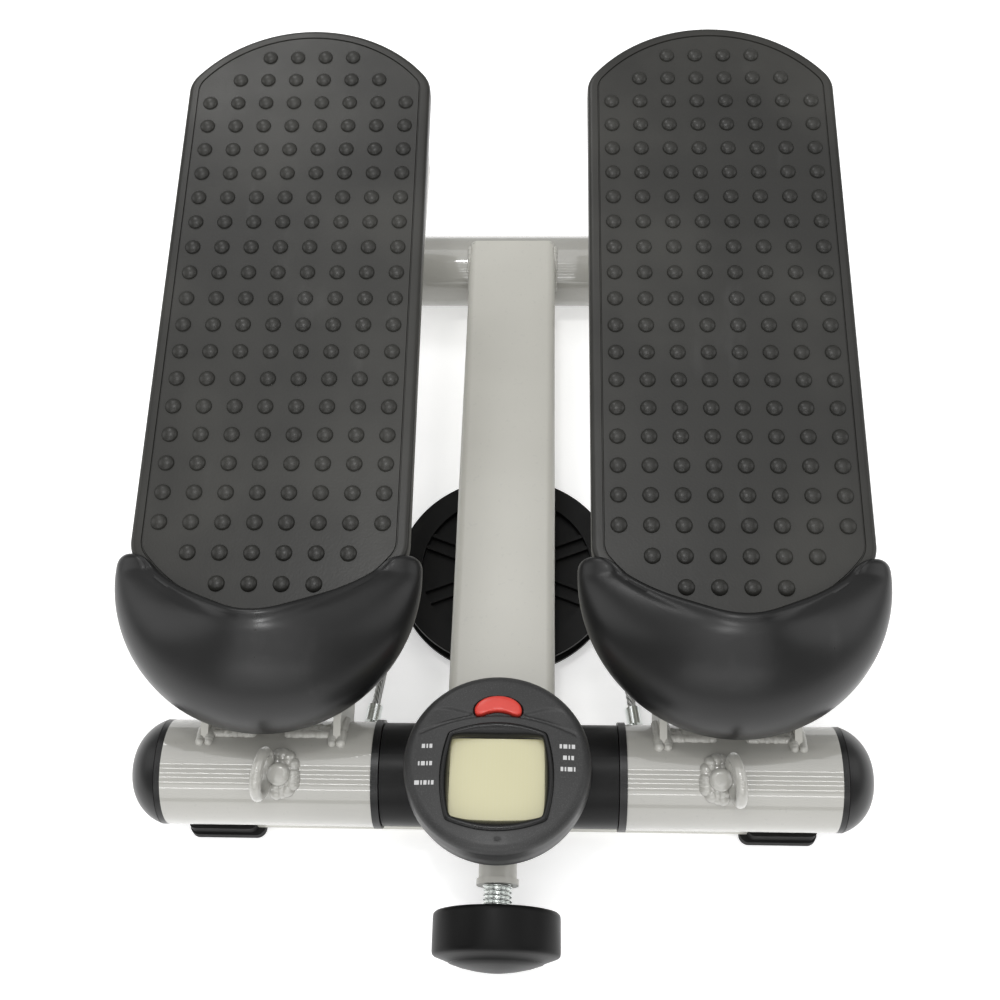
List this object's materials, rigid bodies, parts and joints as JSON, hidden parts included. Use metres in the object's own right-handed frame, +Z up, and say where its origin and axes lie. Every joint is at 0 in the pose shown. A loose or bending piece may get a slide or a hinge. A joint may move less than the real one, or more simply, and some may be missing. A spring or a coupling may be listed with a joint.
{
  "type": "mini stepper",
  "caption": "Compact foot stepper with dotted pedals on a shared front axle, a rope and pulley linkage, damper cylinders, a step-height knob and a round counter.",
  "frame": {"origin": "on the floor, under the middle of the stepper's outline from above", "axes": "+X to the right as seen from the knob end; +Y from the knob to the pedal heels; +Z up"},
  "size_m": [0.3094, 0.4052, 0.1546],
  "materials": {
    "frame_paint": "satin light grey coat",
    "sleeve_paint": "satin grey coat",
    "black_paint": "satin black coat",
    "zinc_steel": "bright zinc plate",
    "rope_steel": "stranded steel",
    "rubber": "matt",
    "knob_plastic": "satin black",
    "case_plastic": "satin dark grey, fine grain",
    "bezel_plastic": "gloss black",
    "lcd": "pale khaki, smooth",
    "board": "smooth",
    "cell_steel": "smooth",
    "red_plastic": "soft gloss",
    "pulley_nylon": "satin",
    "bush_brass": "turned",
    "black_plastic": "satin gloss",
    "tread_plastic": "matt charcoal, raised dots",
    "guard_plastic": "smooth satin black",
    "cylinder_paint": "gloss black coat",
    "rod_chrome": "ground"
  },
  "bodies": {
    "base": {"spine_tube": "frame_paint", "rear_crossbar": "frame_paint", "rear_feet": "rubber", "cylinder_brackets": "frame_paint", "cylinder_foot_pins": "zinc_steel", "centre_tube": "black_paint", "left_axle": "zinc_steel", "right_axle": "zinc_steel", "axle_bolts": "zinc_steel", "front_foot_bar": "frame_paint", "foot_bar_saddle": "frame_paint", "front_feet": "rubber", "adjuster_boss": "frame_paint", "monitor_case": "case_plastic", "monitor_back": "case_plastic", "monitor_screws": "zinc_steel", "screen_surround": "bezel_plastic", "lcd_screen": "lcd", "monitor_board": "board", "button_cell": "cell_steel", "monitor_bracket": "frame_paint"},
    "left_pedal": {"left_sleeve": "sleeve_paint", "left_axle_bushes": "black_plastic", "left_end_cap": "black_plastic", "left_band_eyelet": "sleeve_paint", "left_rope_lug": "sleeve_paint", "left_rope_end": "zinc_steel", "left_pedal_pins": "zinc_steel", "left_pedal_arm": "frame_paint", "left_tray": "frame_paint", "left_tread": "tread_plastic", "left_tread_screws": "zinc_steel", "left_toe_guard": "guard_plastic"},
    "right_pedal": {"right_sleeve": "sleeve_paint", "right_axle_bushes": "black_plastic", "right_end_cap": "black_plastic", "right_band_eyelet": "sleeve_paint", "right_rope_lug": "sleeve_paint", "right_rope_end": "zinc_steel", "right_pedal_pins": "zinc_steel", "right_pedal_arm": "frame_paint", "right_tray": "frame_paint", "right_tread": "tread_plastic", "right_tread_screws": "zinc_steel", "right_toe_guard": "guard_plastic"},
    "left_cylinder": {"left_cylinder_tube": "cylinder_paint"},
    "right_cylinder": {"right_cylinder_tube": "cylinder_paint"},
    "left_plunger": {"left_cylinder_rod": "rod_chrome"},
    "right_plunger": {"right_cylinder_rod": "rod_chrome"},
    "swivel": {"screw_swivel": "zinc_steel"},
    "adjuster": {"adjuster_screw": "zinc_steel", "knob": "knob_plastic", "screw_clip": "zinc_steel"},
    "carriage": {"tension_block": "zinc_steel", "pulley_bolt": "zinc_steel", "pull_link": "zinc_steel", "steel_rope": "rope_steel"},
    "pulley": {"rope_pulley": "pulley_nylon", "pulley_bush": "bush_brass"},
    "button": {"reset_button": "red_plastic"}
  },
  "joints": [
    {"name": "left_pedal_hinge", "type": "hinge", "parent": "base", "child": "left_pedal", "pos_m": [-0.093, -0.12181, 0.031], "axis": [1, 0, 0], "range_deg": [-10, 10], "deforming": ["steel_rope"]},
    {"name": "right_pedal_hinge", "type": "hinge", "parent": "base", "child": "right_pedal", "pos_m": [0.093, -0.12181, 0.031], "axis": [1, 0, 0], "range_deg": [-10.2, 10.2], "deforming": ["steel_rope"]},
    {"name": "left_cylinder_tilt", "type": "hinge", "parent": "base", "child": "left_cylinder", "pos_m": [-0.093, 0.14819, 0.049], "axis": [1, 0, 0], "range_deg": [-6.5, 6.5]},
    {"name": "left_plunger_slide", "type": "slide", "parent": "left_cylinder", "child": "left_plunger", "axis": [0, -0.9965, 0.083], "range_m": [-0.0075, 0.0075]},
    {"name": "right_cylinder_tilt", "type": "hinge", "parent": "base", "child": "right_cylinder", "pos_m": [0.093, 0.14819, 0.049], "axis": [1, 0, 0], "range_deg": [-6.5, 6.5]},
    {"name": "right_plunger_slide", "type": "slide", "parent": "right_cylinder", "child": "right_plunger", "axis": [0, -0.9965, 0.083], "range_m": [-0.0075, 0.0075]},
    {"name": "swivel_slide", "type": "slide", "parent": "base", "child": "swivel", "axis": [0, 0.9903, 0.1392], "range_m": [-0.00568, 0.00568]},
    {"name": "adjuster_turn", "type": "hinge", "parent": "swivel", "child": "adjuster", "pos_m": [0, -0.18621, 0.02929], "axis": [0, 0.9903, 0.1392], "range_deg": [-1170, 1170]},
    {"name": "carriage_slide", "type": "slide", "parent": "base", "child": "carriage", "axis": [0, 1, 0], "range_m": [-0.0058, 0.0058]},
    {"name": "pulley_spin", "type": "hinge", "parent": "carriage", "child": "pulley", "pos_m": [0, -0.01301, 0.0115], "axis": [0, 0, 1], "range_deg": [-5, 5]},
    {"name": "button_press", "type": "slide", "parent": "base", "child": "button", "axis": [0, 0, -1], "range_m": [0, 0.001], "stiffness_N_per_m": 600}
  ],
  "couplings": [
    {"joint": "right_pedal_hinge", "follows": "left_pedal_hinge", "ratio": -1},
    {"joint": "left_cylinder_tilt", "follows": "left_pedal_hinge", "ratio": -0.58194},
    {"joint": "right_cylinder_tilt", "follows": "left_pedal_hinge", "ratio": 0.58194},
    {"joint": "left_plunger_slide", "follows": "left_pedal_hinge", "m_per_rad": 0.039878},
    {"joint": "right_plunger_slide", "follows": "left_pedal_hinge", "m_per_rad": -0.039878},
    {"joint": "pulley_spin", "follows": "left_pedal_hinge", "ratio": -0.40625},
    {"joint": "adjuster_turn", "follows": "swivel_slide", "rad_per_m": 3590.4},
    {"joint": "carriage_slide", "follows": "swivel_slide", "ratio": 0.99027}
  ]
}
